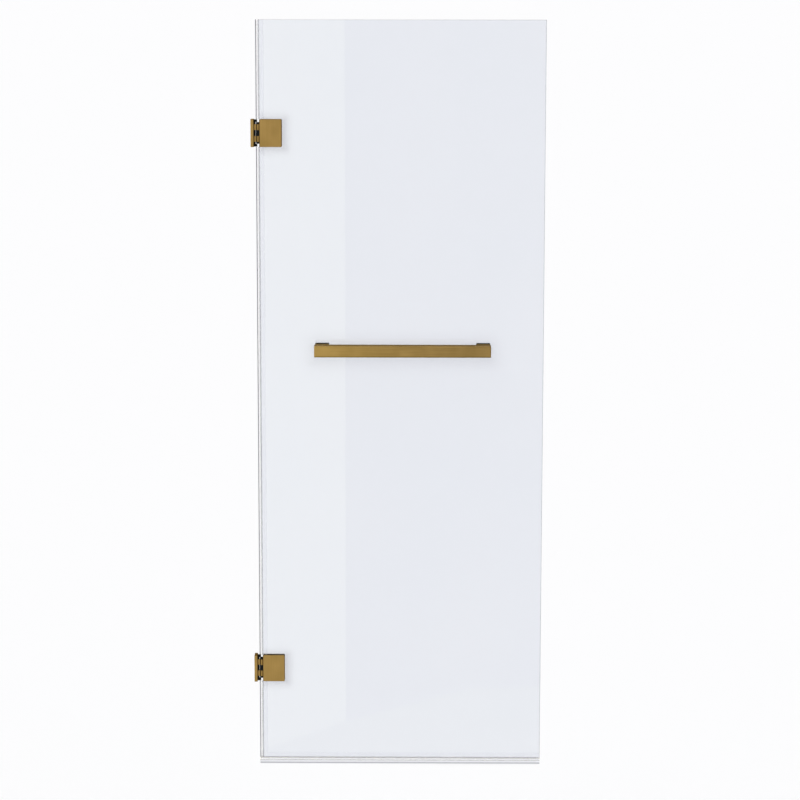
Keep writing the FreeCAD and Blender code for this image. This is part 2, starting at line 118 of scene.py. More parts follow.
def placeCamera():
    lens = bpy.data.cameras.new("photoLens")
    lens.sensor_width = cameraSet["sensor"]
    lens.lens = cameraSet["lens"]
    lens.clip_end = cameraSet["farthest"]
    camera = bpy.data.objects.new("photoCamera", lens)
    scene.collection.objects.link(camera)
    right, up, ahead = cameraAxes()
    turn = Matrix((right, up, -ahead)).transposed()
    camera.matrix_world = Matrix.Translation(cameraSet["place"]) @ turn.to_4x4()
    scene.camera = camera


placeCamera()
print("camera placed")


# Stage: floor, world and sun. The studio shapes that the glass mirrors are seen by glossy rays only.
studioSet = {
    "floorDrop": 0.4,            # m, the height of a tub rim above the floor
    "floorReach": 600.0,         # m, its far edge is above the picture
    # m, how far the floor cards go, and how high they lie above the floor
    "cardReach": 9.0, "cardLift": 2 * millimetre,
    "floorColour": "#EDEDEE",
    "white": 0.982,              # the background where the camera sees it, straight on or through the glass
    "fill": 0.72,                # world brightness for diffuse rays
    "wallTone": (1.34, 1.38, 1.12),
    "floorTone": (0.84, 0.88, 0.70),
    "roomTone": (0.54, 0.54, 0.565),
    "curtainTone": (0.29, 0.21, 0.04),           # a brown curtain hangs behind the door
    "screenTone": (0.09, 0.075, 0.05),           # a dark screen stands to the right, beside the door
    "screenPlace": 1.2, "screenFront": -0.4, "screenBack": 1.0,      # m, along X and along Y
    # The mirrored room by direction: axis, from, to, tone at each end
    "roomFades": {
        "side": ("X", -0.1, 0.6, 1.0, 0.22),
        "ceiling": ("Z", 0.35, 0.8, 1.0, 1.7),
        "behind": ("Y", 0.05, 0.35, 0.0, 1.0),
        "curtainFoot": ("Z", -0.04, 0.06, 0.0, 1.0),
        "curtainTop": ("Z", 0.78, 0.94, 1.0, 0.0),
    },
    # pixels where the mirrored wall and floor meet in the glass
    "mirrorPixels": ((263, 750), (346, 722), (467, 690), (540, 687)),
    "wallHeight": 3.6, "wallReach": 1.6,             # m
    "sunPower": 1.1, "sunWidth": 50.0,               # W/m2 and degrees, as soft as a large ceiling panel
    "sunFrom": Vector((-0.35, -0.30, 0.89)).normalized(),
}
floorZ = cadBox[0].z - studioSet["floorDrop"]


def mirroredPoint(pixel):
    # Where the ray through a pixel, mirrored in the front of the glass, meets the floor.
    right, up, ahead = cameraAxes()
    half = cameraSet["frame"] / 2
    scale = cameraSet["sensor"] / cameraSet["lens"] / cameraSet["frame"]
    ray = ahead + right * (pixel[0] - half) * scale - up * (pixel[1] - half) * scale
    start = cameraSet["place"]
    far = start + ray * ((floorZ - start.z) / ray.z)
    return Vector((far.x, 2 * glassFront - far.y, floorZ))


def stageSheet(name, points, material):
    mesh = bpy.data.meshes.new(name)
    mesh.from_pydata([tuple(p) for p in points], [], [tuple(range(len(points)))])
    mesh.materials.append(material)
    sheet = bpy.data.objects.new(name, mesh)
    scene.collection.objects.link(sheet)
    return sheet


def glowCard(name, points, tone):
    # A studio card that only mirrors and metal see.
    material, tree = emptyMaterial(name + "Glow")
    glow = addNode(tree, "ShaderNodeEmission", inputs={"Color": tone + opaque, "Strength": 1.0})
    addNode(tree, "ShaderNodeOutputMaterial", inputs={"Surface": glow.outputs[0]})
    card = stageSheet(name, points, material)
    card.visible_camera = False
    card.visible_diffuse = False
    card.visible_transmission = False
    card.visible_shadow = False


def straightView(tree, rays):
    # 1 where the camera looks straight on or through the glass, 0 in any mirror image.
    passed = addNode(tree, "ShaderNodeMath", {"operation": "MAXIMUM"},
                     {0: rays.outputs["Is Camera Ray"], 1: rays.outputs["Is Transmission Ray"]})
    shown = addNode(tree, "ShaderNodeMath", {"operation": "SUBTRACT", "use_clamp": True},
                    {0: passed.outputs[0], 1: rays.outputs["Glossy Depth"]})
    return shown.outputs[0]


def makeFloor():
    material, tree = emptyMaterial("paleFloor")
    rays = addNode(tree, "ShaderNodeLightPath")
    matt = addNode(tree, "ShaderNodeBsdfDiffuse", inputs={"Color": linear(studioSet["floorColour"])})
    daylight = studioSet["fill"] + studioSet["sunPower"] * studioSet["sunFrom"].z / math.pi
    shade = linear(studioSet["floorColour"])[0] * daylight
    lift = addNode(tree, "ShaderNodeEmission", inputs={"Strength": studioSet["white"] - shade})
    lifted = addNode(tree, "ShaderNodeAddShader", inputs={0: matt.outputs[0], 1: lift.outputs[0]})
    room = addNode(tree, "ShaderNodeEmission", inputs={"Color": studioSet["roomTone"] + opaque})
    mirrored = addNode(tree, "ShaderNodeMixShader", inputs={
        0: rays.outputs["Is Glossy Ray"], 1: matt.outputs[0], 2: room.outputs[0]})
    whole = addNode(tree, "ShaderNodeMixShader", inputs={
        0: straightView(tree, rays), 1: mirrored.outputs[0], 2: lifted.outputs[0]})
    addNode(tree, "ShaderNodeOutputMaterial", inputs={"Surface": whole.outputs[0]})
    reach = studioSet["floorReach"]
    stageSheet("studioFloor", [(-reach, -reach, floorZ), (reach, -reach, floorZ),
                               (reach, reach, floorZ), (-reach, reach, floorZ)], material)


def makeCards():
    bend = [mirroredPoint(pixel) for pixel in studioSet["mirrorPixels"]]
    wallEnd = bend[0] + (bend[0] - bend[1]).normalized() * studioSet["wallReach"]
    rise = Vector((0, 0, studioSet["wallHeight"]))
    glowCard("leftWallCard", [wallEnd, bend[1], bend[1] + rise, wallEnd + rise], studioSet["wallTone"])
    above = Vector((0, 0, studioSet["cardLift"]))
    reach = studioSet["cardReach"]
    outline = [wallEnd] + bend + [Vector((reach, bend[-1].y, floorZ)), Vector((reach, 0, floorZ)),
                                  Vector((wallEnd.x, 0, floorZ))]
    glowCard("nearFloorCard", [point + above for point in outline], studioSet["floorTone"])
    beyond = [Vector((-reach, 0, floorZ)), Vector((reach, 0, floorZ)), Vector((reach, reach, floorZ)),
              Vector((-reach, reach, floorZ))]
    glowCard("farFloorCard", [point + above for point in beyond], studioSet["floorTone"])
    screenFoot = [Vector((studioSet["screenPlace"], studioSet[end], floorZ)) for end in
                  ("screenFront", "screenBack")]
    screenTop = [point + rise for point in reversed(screenFoot)]
    glowCard("rightScreenCard", screenFoot + screenTop, studioSet["screenTone"])


def makeWorld():
    world = bpy.data.worlds.new("studioWorld")
    scene.world = world
    world.use_nodes = True
    tree = world.node_tree
    tree.nodes.clear()
    rays = addNode(tree, "ShaderNodeLightPath")
    direction = addNode(tree, "ShaderNodeTexCoord")
    axis = addNode(tree, "ShaderNodeSeparateXYZ", inputs={0: direction.outputs["Generated"]})

    fades = {}
    for name, (along, low, high, first, last) in studioSet["roomFades"].items():
        fade = addNode(tree, "ShaderNodeMapRange", {"interpolation_type": "SMOOTHSTEP"}, {
            "Value": axis.outputs[along], "From Min": low, "From Max": high, "To Min": first, "To Max": last})
        fades[name] = fade.outputs[0]
    height = addNode(tree, "ShaderNodeMath", {"operation": "MULTIPLY"},
                     {0: fades["curtainFoot"], 1: fades["curtainTop"]})
    curtain = addNode(tree, "ShaderNodeMath", {"operation": "MULTIPLY"},
                      {0: height.outputs[0], 1: fades["behind"]})
    colour = addNode(tree, "ShaderNodeMix", {"data_type": "RGBA"}, {
        0: curtain.outputs[0], 6: studioSet["roomTone"] + opaque, 7: studioSet["curtainTone"] + opaque})
    lit = addNode(tree, "ShaderNodeMath", {"operation": "MULTIPLY"}, {0: fades["side"], 1: fades["ceiling"]})
    white = addNode(tree, "ShaderNodeBackground", inputs={
        "Color": plainWhite, "Strength": studioSet["white"]})
    fill = addNode(tree, "ShaderNodeBackground", inputs={
        "Color": plainWhite, "Strength": studioSet["fill"]})
    room = addNode(tree, "ShaderNodeBackground", inputs={
        "Color": colour.outputs[2], "Strength": lit.outputs[0]})
    unseen = addNode(tree, "ShaderNodeMixShader", inputs={
        0: rays.outputs["Is Glossy Ray"], 1: fill.outputs[0], 2: room.outputs[0]})
    whole = addNode(tree, "ShaderNodeMixShader", inputs={
        0: straightView(tree, rays), 1: unseen.outputs[0], 2: white.outputs[0]})
    addNode(tree, "ShaderNodeOutputWorld", inputs={"Surface": whole.outputs[0]})


def hangSun():
    lamp = bpy.data.lights.new("softSun", "SUN")
    lamp.energy = studioSet["sunPower"]
    lamp.angle = math.radians(studioSet["sunWidth"])
    sun = bpy.data.objects.new("softSun", lamp)
    scene.collection.objects.link(sun)
    sun.rotation_euler = (-studioSet["sunFrom"]).to_track_quat("-Z", "Y").to_euler()
    sun.visible_glossy = False       # metal mirrors the room, not the lamp


makeFloor()
makeCards()
makeWorld()
hangSun()
print("stage ready, floor at", round(floorZ, 3))


# Materials
noiseLow, noiseHigh = 0.3, 0.7       # nearly all values of a noise lie between these
bumpStrength = 0.5


def newMaterial(name):
    material, tree = emptyMaterial(name)
    coordinates = addNode(tree, "ShaderNodeTexCoord").outputs["Object"]
    return material, tree, coordinates


def finishMaterial(tree, inputs):
    shader = addNode(tree, "ShaderNodeBsdfPrincipled", inputs=inputs)
    addNode(tree, "ShaderNodeOutputMaterial", inputs={"Surface": shader.outputs[0]})


brassSet = {
    "light": "#B5945B", "dark": "#9D7F4B",
    # painted shade: the hinge plates get a darker copy of the bar's brass
    "plateLight": "#A38353", "plateDark": "#8E7245",
    "paintedEdgeShade": "#88703B",               # painted shade along the bar's lower edge
    "paintedEdgeShadeFull": 1.8 * millimetre, "paintedEdgeShadeReach": 3.0 * millimetre,
    "streakLength": 70 * millimetre,
    "streakWidth": 1.6 * millimetre,     # real brush lines are about 0.2 mm; drawn coarser so that they show
    "streakDetail": 3.0,
    "mottle": 30 * millimetre, "mottleDetail": 1.0, "mottleShare": 0.45,
    "roughness": (0.30, 0.40),
    "grooveDepth": 0.012 * millimetre,
}


def satinBrass(name, brushAxis, light, dark, lowerEdge=None):
    # Satin brass: brushed with an abrasive belt, then lacquered. Long fine streaks blur what it mirrors
    # along one direction, and the lacquer gives it a soft, even gold.
    material, tree, coordinates = newMaterial(name)
    widths = [brassSet["streakWidth"]] * 3
    widths[brushAxis] = brassSet["streakLength"]
    brushed = addNode(tree, "ShaderNodeMapping", inputs={0: coordinates, "Scale": [1 / w for w in widths]})
    streaks = addNode(tree, "ShaderNodeTexNoise", inputs={
        "Vector": brushed.outputs[0], "Scale": 1.0, "Detail": brassSet["streakDetail"]})
    mottle = addNode(tree, "ShaderNodeTexNoise", inputs={
        "Vector": coordinates, "Scale": 1 / brassSet["mottle"], "Detail": brassSet["mottleDetail"]})
    shade = addNode(tree, "ShaderNodeMix", {"data_type": "FLOAT"}, {
        0: brassSet["mottleShare"], 2: streaks.outputs["Fac"], 3: mottle.outputs["Fac"]})
    spread = addNode(tree, "ShaderNodeMapRange", inputs={
        "Value": shade.outputs[0], "From Min": noiseLow, "From Max": noiseHigh})
    colour = addNode(tree, "ShaderNodeMix", {"data_type": "RGBA"}, {
        0: spread.outputs[0], 6: linear(dark), 7: linear(light)})
    if lowerEdge is not None:
        # Painted shade: a darker line along the bar's lower edge.
        axis = addNode(tree, "ShaderNodeSeparateXYZ", inputs={0: coordinates})
        paintedEdgeShade = addNode(tree, "ShaderNodeMapRange", inputs={
            "Value": axis.outputs["Z"], "From Min": lowerEdge + brassSet["paintedEdgeShadeFull"],
            "From Max": lowerEdge + brassSet["paintedEdgeShadeReach"], "To Min": 1.0, "To Max": 0.0})
        colour = addNode(tree, "ShaderNodeMix", {"data_type": "RGBA"}, {
            0: paintedEdgeShade.outputs[0], 6: colour.outputs[2], 7: linear(brassSet["paintedEdgeShade"])})
    rough = addNode(tree, "ShaderNodeMapRange", inputs={
        "Value": streaks.outputs["Fac"], "From Min": noiseLow, "From Max": noiseHigh,
        "To Min": brassSet["roughness"][0], "To Max": brassSet["roughness"][1]})
    grooves = addNode(tree, "ShaderNodeBump", inputs={
        "Height": streaks.outputs["Fac"], "Strength": bumpStrength, "Distance": brassSet["grooveDepth"]})
    finishMaterial(tree, {"Base Color": colour.outputs[2], "Metallic": 1.0, "Roughness": rough.outputs[0],
                          "Normal": grooves.outputs[0]})
    return material


glassSet = {
    "pane": "#EFF1F6", "paneDeep": "#ECEFF5",
    "edge": "#BEBDC9",
    "paintedShade": "#C4C3CA",               # painted shade: soft contact shade beside the metal, drawn into the glass colour
    # how far the painted shade reaches, which way it is shifted, and its strength
    "paintedShadeBeside": {
        "lower_front_clamp_plate": (26 * millimetre, Vector((4, 0, -2)) * millimetre, 0.64),
        "upper_front_clamp_plate": (26 * millimetre, Vector((4, 0, -2)) * millimetre, 0.64),
        "towel_rail": (46 * millimetre, Vector((0, 0, -9)) * millimetre, 0.36),
    },
    "paintedShadeFade": 2.4,                 # the higher, the closer it keeps to the metal
    "paintedShadeDepth": 1.0,                # m, more than the glass is thick, so both of its faces have it
    "cloud": 260 * millimetre, "cloudDetail": 1.0,
    # how squarely a face looks forward where the ground edge starts, and where it is full
    "edgeFacing": (0.98, 0.8),
    "edgeGrit": 1.2 * millimetre, "edgeFrost": (0.12, 0.3),
    "clear": 0.97,           # the rest is a thin dry film on both faces, which catches soft contact shade
    "ior": 1.52,
}


def paintedShadeBesideMetal(tree, coordinates):
    # Painted shade: from 1 at a plate's edge to 0 a little way off, across the face of the glass.
    paintedShade = 0.0
    for name, (reach, run, strength) in glassSet["paintedShadeBeside"].items():
        low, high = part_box(name)
        half = (high - low) / 2
        half.y = glassSet["paintedShadeDepth"]
        offset = addNode(tree, "ShaderNodeVectorMath", {"operation": "SUBTRACT"},
                         {0: coordinates, 1: (low + high) / 2 + run})
        away = addNode(tree, "ShaderNodeVectorMath", {"operation": "ABSOLUTE"}, {0: offset.outputs[0]})
        past = addNode(tree, "ShaderNodeVectorMath", {"operation": "SUBTRACT"}, {0: away.outputs[0], 1: half})
        outside = addNode(tree, "ShaderNodeVectorMath", {"operation": "MAXIMUM"},
                          {0: past.outputs[0], 1: (0, 0, 0)})
        distance = addNode(tree, "ShaderNodeVectorMath", {"operation": "LENGTH"}, {0: outside.outputs[0]})
        near = addNode(tree, "ShaderNodeMapRange", inputs={
            "Value": distance.outputs["Value"], "From Max": reach, "To Min": 1.0, "To Max": 0.0})
        soft = addNode(tree, "ShaderNodeMath", {"operation": "POWER"},
                       {0: near.outputs[0], 1: glassSet["paintedShadeFade"]})
        paintedShade = addNode(tree, "ShaderNodeMath", {"operation": "MULTIPLY_ADD"},
                       {0: soft.outputs[0], 1: strength, 2: paintedShade}).outputs[0]
    return paintedShade


def clearGlass():
    # Tempered float glass, polished, with a ground and polished edge. A faint cool cast, sharp pale mirror
    # images, and painted shade that greys the glass a little beside the metal.
    material, tree, coordinates = newMaterial("temperedGlass")
    facing = addNode(tree, "ShaderNodeTexCoord")         # its normal turns with the door
    normal = addNode(tree, "ShaderNodeSeparateXYZ", inputs={0: facing.outputs["Normal"]})
    flat = addNode(tree, "ShaderNodeMath", {"operation": "ABSOLUTE"}, {0: normal.outputs["Y"]})
    edge = addNode(tree, "ShaderNodeMapRange", inputs={
        "Value": flat.outputs[0],
        "From Min": glassSet["edgeFacing"][0], "From Max": glassSet["edgeFacing"][1]})
    cloud = addNode(tree, "ShaderNodeTexNoise", inputs={
        "Vector": coordinates, "Scale": 1 / glassSet["cloud"], "Detail": glassSet["cloudDetail"]})
    pane = addNode(tree, "ShaderNodeMix", {"data_type": "RGBA"}, {
        0: cloud.outputs["Fac"], 6: linear(glassSet["paneDeep"]), 7: linear(glassSet["pane"])})
    # painted shade: the glass colour is greyed beside the plates and the bar
    shadedPane = addNode(tree, "ShaderNodeMix", {"data_type": "RGBA"}, {
        0: paintedShadeBesideMetal(tree, coordinates), 6: pane.outputs[2], 7: linear(glassSet["paintedShade"])})
    colour = addNode(tree, "ShaderNodeMix", {"data_type": "RGBA"}, {
        0: edge.outputs[0], 6: shadedPane.outputs[2], 7: linear(glassSet["edge"])})
    grit = addNode(tree, "ShaderNodeTexNoise", inputs={
        "Vector": coordinates, "Scale": 1 / glassSet["edgeGrit"]})
    frost = addNode(tree, "ShaderNodeMapRange", inputs={
        "Value": grit.outputs["Fac"], "To Min": glassSet["edgeFrost"][0], "To Max": glassSet["edgeFrost"][1]})
    rough = addNode(tree, "ShaderNodeMath", {"operation": "MULTIPLY"},
                    {0: edge.outputs[0], 1: frost.outputs[0]})
    finishMaterial(tree, {"Base Color": colour.outputs[2], "Roughness": rough.outputs[0],
                          "IOR": glassSet["ior"], "Transmission Weight": glassSet["clear"]})
    return material


vinylSet = {
    "clear": "#F6F5FB", "milky": "#F1F0F7",
    "drawLine": 0.7 * millimetre, "drawLength": 120 * millimetre, "drawDetail": 2.0,
    "stiffRoughness": (0.02, 0.06), "softRoughness": (0.03, 0.08),
    "ior": 1.53,
    "channelCover": 0.14,        # the stiff channel is wet against the glass, and shows only this much
}


def clearVinyl(name, lengthAxis, cover):
    # Clear PVC, extruded. Faint draw lines run along its length.
    material, tree, coordinates = newMaterial(name)
    widths = [vinylSet["drawLine"]] * 3
    widths[lengthAxis] = vinylSet["drawLength"]
    drawn = addNode(tree, "ShaderNodeMapping", inputs={0: coordinates, "Scale": [1 / w for w in widths]})
    lines = addNode(tree, "ShaderNodeTexNoise", inputs={
        "Vector": drawn.outputs[0], "Scale": 1.0, "Detail": vinylSet["drawDetail"]})
    colour = addNode(tree, "ShaderNodeMix", {"data_type": "RGBA"}, {
        0: lines.outputs["Fac"], 6: linear(vinylSet["milky"]), 7: linear(vinylSet["clear"])})
    smooth, rubbed = vinylSet["stiffRoughness"]
    rough = addNode(tree, "ShaderNodeMapRange", inputs={
        "Value": lines.outputs["Fac"], "To Min": smooth, "To Max": rubbed})
    finishMaterial(tree, {"Base Color": colour.outputs[2], "Roughness": rough.outputs[0],
                          "IOR": vinylSet["ior"], "Transmission Weight": 1.0, "Alpha": cover})
    return material


def softVinyl(name, acrossAxis, start, bands):
    # The lip, in soft PVC: clear, with grey stripes along it, painted shade where its clear walls bend light.
    material, tree, coordinates = newMaterial(name)
    axis = addNode(tree, "ShaderNodeSeparateXYZ", inputs={0: coordinates})
    width = bands[-1][0]
    place = addNode(tree, "ShaderNodeMapRange", inputs={
        "Value": axis.outputs[acrossAxis], "From Min": start, "From Max": start + width})
    stripes = addNode(tree, "ShaderNodeValToRGB", inputs={0: place.outputs[0]})
    stops = stripes.color_ramp.elements
    while len(stops) < len(bands):
        stops.new(1.0)
    for stop, (distance, colour, cover) in zip(stops, bands):
        stop.position = distance / width
        stop.color = linear(colour)[:3] + (cover,)
    noise = addNode(tree, "ShaderNodeTexNoise", inputs={
        "Vector": coordinates, "Scale": 1 / vinylSet["drawLength"]})
    smooth, rubbed = vinylSet["softRoughness"]
    rough = addNode(tree, "ShaderNodeMapRange", inputs={
        "Value": noise.outputs["Fac"], "To Min": smooth, "To Max": rubbed})
    finishMaterial(tree, {"Base Color": stripes.outputs["Color"], "Alpha": stripes.outputs["Alpha"],
                          "Roughness": rough.outputs[0], "IOR": vinylSet["ior"], "Transmission Weight": 1.0})
    return material


grainDetail = 3.0


def grained(name, dark, light, grain, roughness, depth, metallic=0.0, gloss=0.5):
    # Shared by the plain solid materials: two close shades and a bump at the real size of the surface grain.
    material, tree, coordinates = newMaterial(name)
    noise = addNode(tree, "ShaderNodeTexNoise", inputs={
        "Vector": coordinates, "Scale": 1 / grain, "Detail": grainDetail})
    colour = addNode(tree, "ShaderNodeMix", {"data_type": "RGBA"}, {
        0: noise.outputs["Fac"], 6: linear(dark), 7: linear(light)})
    rough = addNode(tree, "ShaderNodeMapRange", inputs={
        "Value": noise.outputs["Fac"], "From Min": noiseLow, "From Max": noiseHigh,
        "To Min": roughness[0], "To Max": roughness[1]})
    bump = addNode(tree, "ShaderNodeBump", inputs={
        "Height": noise.outputs["Fac"], "Strength": bumpStrength, "Distance": depth})
    finishMaterial(tree, {"Base Color": colour.outputs[2], "Metallic": metallic,
                          "Roughness": rough.outputs[0], "Specular IOR Level": gloss,
                          "Normal": bump.outputs[0]})
    return material


xAxis, zAxis = 0, 2
# The bar is brushed along its length.
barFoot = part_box("towel_rail")[0].z
brassAcross = satinBrass("satinBrassAcross", xAxis, brassSet["light"], brassSet["dark"], barFoot)
# The hinge plates are brushed upright. They get a darker copy of the brass, painted shade.
brassUpright = satinBrass("satinBrassUpright", zAxis, brassSet["plateLight"], brassSet["plateDark"])
glass = clearGlass()
channelUpright = clearVinyl("stiffVinylUpright", zAxis, vinylSet["channelCover"])
channelAcross = clearVinyl("stiffVinylAcross", xAxis, vinylSet["channelCover"])
gasketVinyl = clearVinyl("clearVinylSheet", zAxis, cover=1.0)
# Black-oxide steel: hot blackened, almost matt, with a blue-grey bloom
blackSteel = grained("blackOxideSteel", "#17181B", "#24262B", grain=2.0 * millimetre,
                     roughness=(0.38, 0.5), depth=0.01 * millimetre, metallic=1.0)
# Black nylon, moulded: a fine spark-eroded grain that leaves almost no sheen
blackNylon = grained("blackNylon", "#131312", "#1C1B1A", grain=0.8 * millimetre,
                     roughness=(0.55, 0.7), depth=0.02 * millimetre, gloss=0.12)
# White nylon, turned from rod: slightly warm and waxy
whiteNylon = grained("whiteNylon", "#E2E1DB", "#EEEDE8", grain=1.5 * millimetre,
                     roughness=(0.35, 0.5), depth=0.01 * millimetre)
# Gasket rubber: cut from sheet, dull, with a talc bloom
gasketRubber = grained("gasketRubber", "#1D1E20", "#2C2D30", grain=1.0 * millimetre,
                       roughness=(0.65, 0.85), depth=0.03 * millimetre)
# Stainless steel, turned and tumbled: pale grey, with a soft shine
stainless = grained("turnedStainless", "#A9ABAE", "#C4C6C9", grain=0.6 * millimetre,
                    roughness=(0.22, 0.34), depth=0.006 * millimetre, metallic=1.0)

finishes = {
    "satin_brass": brassUpright, "black_steel": blackSteel, "stainless_steel": stainless,
    "black_nylon": blackNylon, "white_nylon": whiteNylon, "gasket_rubber": gasketRubber,
    "clear_vinyl": gasketVinyl, "clear_glass": glass,
}
acrossPieces = {name: brassAcross for name in ("towel_rail", "rail_end_caps", "left_post", "right_post")}
lightPasses = ("clear_glass", "clear_vinyl")


def dressNodes():
    slotOf = {part["node"]: part["material_slot"] for part in frame["record"]["subparts"]}
    for name, piece in nodes.items():
        material = acrossPieces.get(name, finishes[slotOf[name]])
        piece.data.materials.clear()
        piece.data.materials.append(material)
        if slotOf[name] in lightPasses:
            piece.visible_shadow = False


dressNodes()
print("materials on", len(nodes), "nodes")


# Shared makers of meshes
mergeDistance = 0.002 * millimetre
sharpAngle = math.radians(32)        # an edge that turns more than this stays sharp


def arc(centre, radius, start, end, steps):
    angles = [math.radians(start + (end - start) * step / steps) for step in range(steps + 1)]
    return [(centre[0] + radius * math.cos(a), centre[1] + radius * math.sin(a)) for a in angles]


def closedProfile(name, outlines):
    curve = bpy.data.curves.new(name, "CURVE")
    curve.dimensions = "2D"
    curve.fill_mode = "NONE"
    for outline in outlines:
        spline = curve.splines.new("POLY")
        spline.points.add(len(outline) - 1)
        for point, (across, along) in zip(spline.points, outline):
            point.co = (across, along, 0, 1)
        spline.use_cyclic_u = True
    return curve


def newTree(name, sockets):
    tree = bpy.data.node_groups.new(name, "GeometryNodeTree")
    keys = {}
    tree.interface.new_socket("Geometry", in_out="INPUT", socket_type="NodeSocketGeometry")
    for label, kind in sockets.items():
        keys[label] = tree.interface.new_socket(label, in_out="INPUT", socket_type=kind).identifier
    tree.interface.new_socket("Geometry", in_out="OUTPUT", socket_type="NodeSocketGeometry")
    return tree, keys, addNode(tree, "NodeGroupInput")


def endTree(tree, geometry, finish):
    single = addNode(tree, "GeometryNodeRealizeInstances", inputs={"Geometry": geometry})
    painted = addNode(tree, "GeometryNodeSetMaterial", inputs={
        "Geometry": single.outputs[0], "Material": finish})
    addNode(tree, "NodeGroupOutput", inputs={"Geometry": painted.outputs[0]})


def extrusionTree():
    # A flat profile, filled, drawn out to a length, closed at both ends, turned and set in place.
    tree, keys, given = newTree("extrudedStrip", {
        "Length": "NodeSocketFloat", "Turn": "NodeSocketRotation", "Start": "NodeSocketVector",
        "Finish": "NodeSocketMaterial"})
    flat = addNode(tree, "GeometryNodeFillCurve", {"mode": "NGONS"}, {"Curve": given.outputs["Geometry"]})
    along = addNode(tree, "ShaderNodeCombineXYZ", inputs={"Z": given.outputs["Length"]})
    drawn = addNode(tree, "GeometryNodeExtrudeMesh", {"mode": "FACES"}, {
        "Mesh": flat.outputs[0], "Offset": along.outputs[0], "Offset Scale": 1.0, "Individual": False})
    foot = addNode(tree, "GeometryNodeFlipFaces", inputs={"Mesh": flat.outputs[0]})
    both = addNode(tree, "GeometryNodeJoinGeometry", inputs={0: drawn.outputs["Mesh"]})
    tree.links.new(foot.outputs[0], both.inputs[0])
    closed = addNode(tree, "GeometryNodeMergeByDistance", inputs={
        "Geometry": both.outputs[0], "Distance": mergeDistance})
    placed = addNode(tree, "GeometryNodeTransform", inputs={
        "Geometry": closed.outputs[0], "Rotation": given.outputs["Turn"],
        "Translation": given.outputs["Start"]})
    endTree(tree, placed.outputs[0], given.outputs["Finish"])
    return tree, keys


def gridTree():
    # One small part repeated in columns, and the columns repeated in rows.
    tree, keys, given = newTree("partGrid", {
        "Columns": "NodeSocketInt", "Column Step": "NodeSocketVector", "Rows": "NodeSocketInt",
        "Row Step": "NodeSocketVector", "First Place": "NodeSocketVector", "Finish": "NodeSocketMaterial"})
    columns = addNode(tree, "GeometryNodeMeshLine", {"mode": "OFFSET"}, {
        "Count": given.outputs["Columns"], "Start Location": given.outputs["First Place"],
        "Offset": given.outputs["Column Step"]})
    rows = addNode(tree, "GeometryNodeMeshLine", {"mode": "OFFSET"}, {
        "Count": given.outputs["Rows"], "Offset": given.outputs["Row Step"]})
    lines = addNode(tree, "GeometryNodeInstanceOnPoints", inputs={
        "Points": rows.outputs[0], "Instance": columns.outputs[0]})
    points = addNode(tree, "GeometryNodeRealizeInstances", inputs={"Geometry": lines.outputs[0]})
    copies = addNode(tree, "GeometryNodeInstanceOnPoints", inputs={
        "Points": points.outputs[0], "Instance": given.outputs["Geometry"]})
    endTree(tree, copies.outputs[0], given.outputs["Finish"])
    return tree, keys


def grow(name, data, treeAndKeys, values):
    # Runs a tree on a curve or mesh, and gives the result as a plain mesh object.
    tree, keys = treeAndKeys
    maker = bpy.data.objects.new(name + "Maker", data)
    scene.collection.objects.link(maker)
    modifier = maker.modifiers.new("grow", "NODES")
    modifier.node_group = tree
    for label, value in values.items():
        modifier[keys[label]] = value
    graph = bpy.context.evaluated_depsgraph_get()
    mesh = bpy.data.meshes.new_from_object(
        maker.evaluated_get(graph), preserve_all_data_layers=True, depsgraph=graph)
    maker.modifiers.remove(modifier)
    bpy.data.objects.remove(maker)
    return addPiece(name, mesh)


def addPiece(name, mesh):
    mesh.name = name
    shell = bmesh.new()
    shell.from_mesh(mesh)
    bmesh.ops.recalc_face_normals(shell, faces=shell.faces)
    shell.to_mesh(mesh)
    shell.free()
    mesh.shade_smooth()
    mesh.set_sharp_from_angle(angle=sharpAngle)
    piece = bpy.data.objects.new(name, mesh)
    scene.collection.objects.link(piece)
    return piece


def ringStack(name, rings, around):
    # A turned part along Y. Each ring is its depth below the crown, its radius, and True where it is a
    # hexagon with that half width.
    shell = bmesh.new()
    loops = []
    for depth, radius, isHex in rings:
        if radius == 0:
            loops.append([shell.verts.new((0, -depth, 0))])
            continue
        loop = []
        for step in range(around):
            angle = 2 * math.pi * step / around
            lean = (angle + math.pi / 6) % (math.pi / 3) - math.pi / 6
            reach = radius / math.cos(lean) if isHex else radius
            loop.append(shell.verts.new((reach * math.sin(angle), -depth, reach * math.cos(angle))))
        loops.append(loop)
    for near, far in zip(loops, loops[1:]):
        for step in range(around):
            following = (step + 1) % around
            if len(near) == 1:
                shell.faces.new((near[0], far[step], far[following]))
            elif len(far) == 1:
                shell.faces.new((near[step], far[0], near[following]))
            else:
                shell.faces.new((near[step], far[step], far[following], near[following]))
    mesh = bpy.data.meshes.new(name)
    shell.to_mesh(mesh)
    shell.free()
    return mesh


stripMaker = extrusionTree()
gridMaker = gridTree()
alongX = (math.pi / 2, 0, math.pi / 2)      # turns a profile's plane to YZ and its length to X
print("node trees ready")


